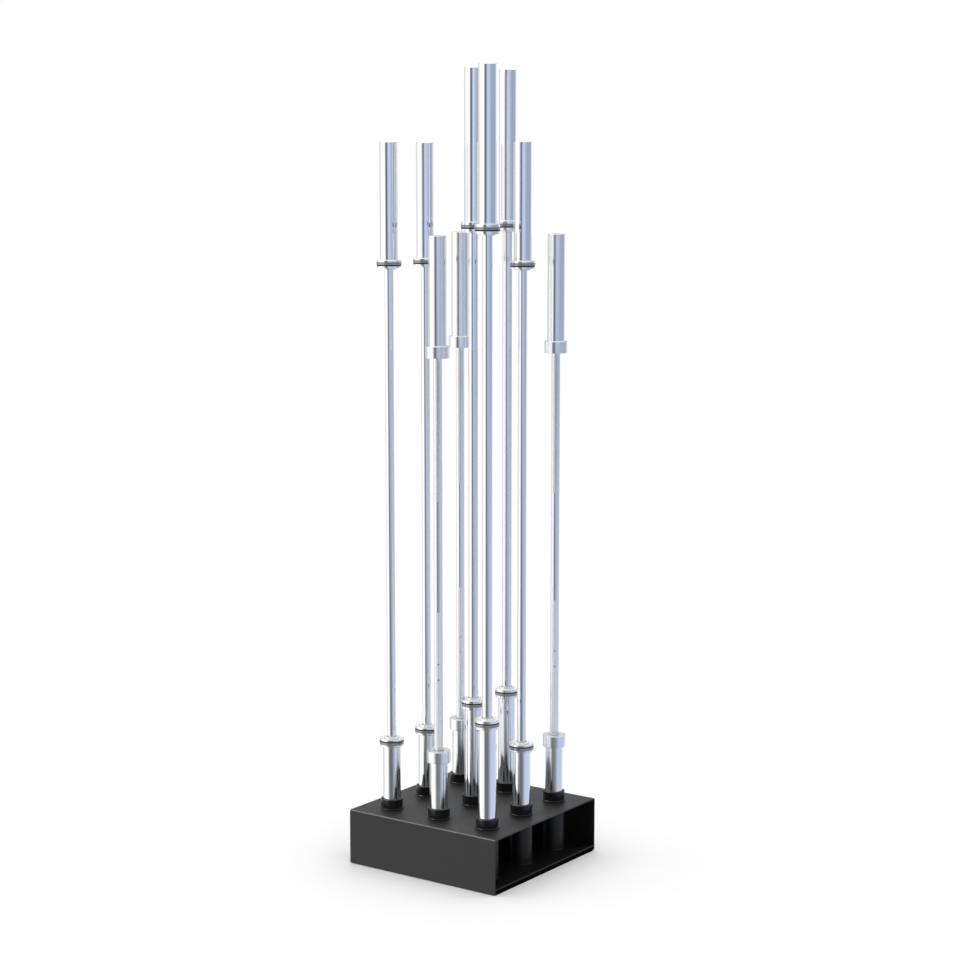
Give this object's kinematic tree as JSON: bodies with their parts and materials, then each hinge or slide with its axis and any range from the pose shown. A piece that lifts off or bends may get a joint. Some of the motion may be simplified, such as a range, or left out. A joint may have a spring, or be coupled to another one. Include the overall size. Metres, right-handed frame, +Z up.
{
  "type": "barbell storage rack",
  "caption": "Upright barbell rack: a folded black steel base on rubber runners with a grid of lined sockets, each holding a bar whose chromed sleeves spin on bushings.",
  "frame": {"origin": "on the floor, under the middle of the base", "axes": "+X along the front face from left to right, +Y from front to back, +Z up along the bars"},
  "size_m": [0.5, 0.5, 2.219],
  "materials": {
    "powder_coat": "fine-textured satin black powder coat on steel sheet",
    "tube_coat": "satin black powder coat on steel tube",
    "black_polymer": "matt black moulded polymer",
    "runner_rubber": "matt black rubber",
    "black_steel": "black-oxidised steel screws and nuts",
    "chrome_shaft": "satin hard chrome",
    "chrome_sleeve": "bright polished chrome",
    "bronze": "oiled sintered bronze, with plain steel washers and rings",
    "black_trim": "glossy black polymer"
  },
  "bodies": {
    "rack": {"base_cover": "powder_coat", "floor_plate": "powder_coat", "holder_tubes": "tube_coat", "holder_liners": "black_polymer", "rubber_runners": "runner_rubber", "runner_fasteners": "black_steel"},
    "front_left_bar": {"front_left_shaft": "chrome_shaft", "front_left_bearing_set": "bronze"},
    "front_left_upper": {"front_left_upper_sleeve": "chrome_sleeve", "front_left_upper_cap_and_band": "black_trim"},
    "front_left_lower": {"front_left_lower_sleeve": "chrome_sleeve", "front_left_lower_cap_and_band": "black_trim"},
    "front_centre_bar": {"front_centre_shaft": "chrome_shaft", "front_centre_bearing_set": "bronze"},
    "front_centre_upper": {"front_centre_upper_sleeve": "chrome_sleeve", "front_centre_upper_cap": "black_trim"},
    "front_centre_lower": {"front_centre_lower_sleeve": "chrome_sleeve", "front_centre_lower_cap": "black_trim"},
    "front_right_bar": {"front_right_shaft": "chrome_shaft", "front_right_bearing_set": "bronze"},
    "front_right_upper": {"front_right_upper_sleeve": "chrome_sleeve", "front_right_upper_cap_and_band": "black_trim"},
    "front_right_lower": {"front_right_lower_sleeve": "chrome_sleeve", "front_right_lower_cap_and_band": "black_trim"},
    "middle_left_bar": {"middle_left_shaft": "chrome_shaft", "middle_left_bearing_set": "bronze"},
    "middle_left_upper": {"middle_left_upper_sleeve": "chrome_sleeve", "middle_left_upper_cap_and_band": "black_trim"},
    "middle_left_lower": {"middle_left_lower_sleeve": "chrome_sleeve", "middle_left_lower_cap_and_band": "black_trim"},
    "middle_centre_bar": {"middle_centre_shaft": "chrome_shaft", "middle_centre_bearing_set": "bronze"},
    "middle_centre_upper": {"middle_centre_upper_sleeve": "chrome_sleeve", "middle_centre_upper_cap_and_band": "black_trim"},
    "middle_centre_lower": {"middle_centre_lower_sleeve": "chrome_sleeve", "middle_centre_lower_cap_and_band": "black_trim"},
    "middle_right_bar": {"middle_right_shaft": "chrome_shaft", "middle_right_bearing_set": "bronze"},
    "middle_right_upper": {"middle_right_upper_sleeve": "chrome_sleeve", "middle_right_upper_cap_and_band": "black_trim"},
    "middle_right_lower": {"middle_right_lower_sleeve": "chrome_sleeve", "middle_right_lower_cap_and_band": "black_trim"},
    "back_left_bar": {"back_left_shaft": "chrome_shaft", "back_left_bearing_set": "bronze"},
    "back_left_upper": {"back_left_upper_sleeve": "chrome_sleeve", "back_left_upper_cap": "black_trim"},
    "back_left_lower": {"back_left_lower_sleeve": "chrome_sleeve", "back_left_lower_cap": "black_trim"},
    "back_centre_bar": {"back_centre_shaft": "chrome_shaft", "back_centre_bearing_set": "bronze"},
    "back_centre_upper": {"back_centre_upper_sleeve": "chrome_sleeve", "back_centre_upper_cap_and_band": "black_trim"},
    "back_centre_lower": {"back_centre_lower_sleeve": "chrome_sleeve", "back_centre_lower_cap_and_band": "black_trim"},
    "back_right_bar": {"back_right_shaft": "chrome_shaft", "back_right_bearing_set": "bronze"},
    "back_right_upper": {"back_right_upper_sleeve": "chrome_sleeve", "back_right_upper_cap": "black_trim"},
    "back_right_lower": {"back_right_lower_sleeve": "chrome_sleeve", "back_right_lower_cap": "black_trim"}
  },
  "joints": [
    {"name": "front_left_lift", "type": "slide", "parent": "rack", "child": "front_left_bar", "axis": [0, 0, 1], "range_m": [0, 0.2]},
    {"name": "front_left_upper_spin", "type": "hinge", "parent": "front_left_bar", "child": "front_left_upper", "pos_m": [-0.165, -0.165, 1.8595], "axis": [0, 0, 1], "continuous": true},
    {"name": "front_left_lower_spin", "type": "hinge", "parent": "front_left_bar", "child": "front_left_lower", "pos_m": [-0.165, -0.165, 0.1785], "axis": [0, 0, 1], "continuous": true},
    {"name": "front_centre_lift", "type": "slide", "parent": "rack", "child": "front_centre_bar", "axis": [0, 0, 1], "range_m": [0, 0.2]},
    {"name": "front_centre_upper_spin", "type": "hinge", "parent": "front_centre_bar", "child": "front_centre_upper", "pos_m": [0, -0.165, 1.6205], "axis": [0, 0, 1], "continuous": true},
    {"name": "front_centre_lower_spin", "type": "hinge", "parent": "front_centre_bar", "child": "front_centre_lower", "pos_m": [0, -0.165, 0.1675], "axis": [0, 0, 1], "continuous": true},
    {"name": "front_right_lift", "type": "slide", "parent": "rack", "child": "front_right_bar", "axis": [0, 0, 1], "range_m": [0, 0.2]},
    {"name": "front_right_upper_spin", "type": "hinge", "parent": "front_right_bar", "child": "front_right_upper", "pos_m": [0.165, -0.165, 2.01075], "axis": [0, 0, 1], "continuous": true},
    {"name": "front_right_lower_spin", "type": "hinge", "parent": "front_right_bar", "child": "front_right_lower", "pos_m": [0.165, -0.165, 0.22725], "axis": [0, 0, 1], "continuous": true},
    {"name": "middle_left_lift", "type": "slide", "parent": "rack", "child": "middle_left_bar", "axis": [0, 0, 1], "range_m": [0, 0.2]},
    {"name": "middle_left_upper_spin", "type": "hinge", "parent": "middle_left_bar", "child": "middle_left_upper", "pos_m": [-0.165, 0, 1.8595], "axis": [0, 0, 1], "continuous": true},
    {"name": "middle_left_lower_spin", "type": "hinge", "parent": "middle_left_bar", "child": "middle_left_lower", "pos_m": [-0.165, 0, 0.1785], "axis": [0, 0, 1], "continuous": true},
    {"name": "middle_centre_lift", "type": "slide", "parent": "rack", "child": "middle_centre_bar", "axis": [0, 0, 1], "range_m": [0, 0.2]},
    {"name": "middle_centre_upper_spin", "type": "hinge", "parent": "middle_centre_bar", "child": "middle_centre_upper", "pos_m": [0, 0, 2.01075], "axis": [0, 0, 1], "continuous": true},
    {"name": "middle_centre_lower_spin", "type": "hinge", "parent": "middle_centre_bar", "child": "middle_centre_lower", "pos_m": [0, 0, 0.22725], "axis": [0, 0, 1], "continuous": true},
    {"name": "middle_right_lift", "type": "slide", "parent": "rack", "child": "middle_right_bar", "axis": [0, 0, 1], "range_m": [0, 0.2]},
    {"name": "middle_right_upper_spin", "type": "hinge", "parent": "middle_right_bar", "child": "middle_right_upper", "pos_m": [0.165, 0, 1.8595], "axis": [0, 0, 1], "continuous": true},
    {"name": "middle_right_lower_spin", "type": "hinge", "parent": "middle_right_bar", "child": "middle_right_lower", "pos_m": [0.165, 0, 0.1785], "axis": [0, 0, 1], "continuous": true},
    {"name": "back_left_lift", "type": "slide", "parent": "rack", "child": "back_left_bar", "axis": [0, 0, 1], "range_m": [0, 0.2]},
    {"name": "back_left_upper_spin", "type": "hinge", "parent": "back_left_bar", "child": "back_left_upper", "pos_m": [-0.165, 0.165, 1.6205], "axis": [0, 0, 1], "continuous": true},
    {"name": "back_left_lower_spin", "type": "hinge", "parent": "back_left_bar", "child": "back_left_lower", "pos_m": [-0.165, 0.165, 0.1675], "axis": [0, 0, 1], "continuous": true},
    {"name": "back_centre_lift", "type": "slide", "parent": "rack", "child": "back_centre_bar", "axis": [0, 0, 1], "range_m": [0, 0.2]},
    {"name": "back_centre_upper_spin", "type": "hinge", "parent": "back_centre_bar", "child": "back_centre_upper", "pos_m": [0, 0.165, 2.01075], "axis": [0, 0, 1], "continuous": true},
    {"name": "back_centre_lower_spin", "type": "hinge", "parent": "back_centre_bar", "child": "back_centre_lower", "pos_m": [0, 0.165, 0.22725], "axis": [0, 0, 1], "continuous": true},
    {"name": "back_right_lift", "type": "slide", "parent": "rack", "child": "back_right_bar", "axis": [0, 0, 1], "range_m": [0, 0.2]},
    {"name": "back_right_upper_spin", "type": "hinge", "parent": "back_right_bar", "child": "back_right_upper", "pos_m": [0.165, 0.165, 1.6205], "axis": [0, 0, 1], "continuous": true},
    {"name": "back_right_lower_spin", "type": "hinge", "parent": "back_right_bar", "child": "back_right_lower", "pos_m": [0.165, 0.165, 0.1675], "axis": [0, 0, 1], "continuous": true}
  ]
}
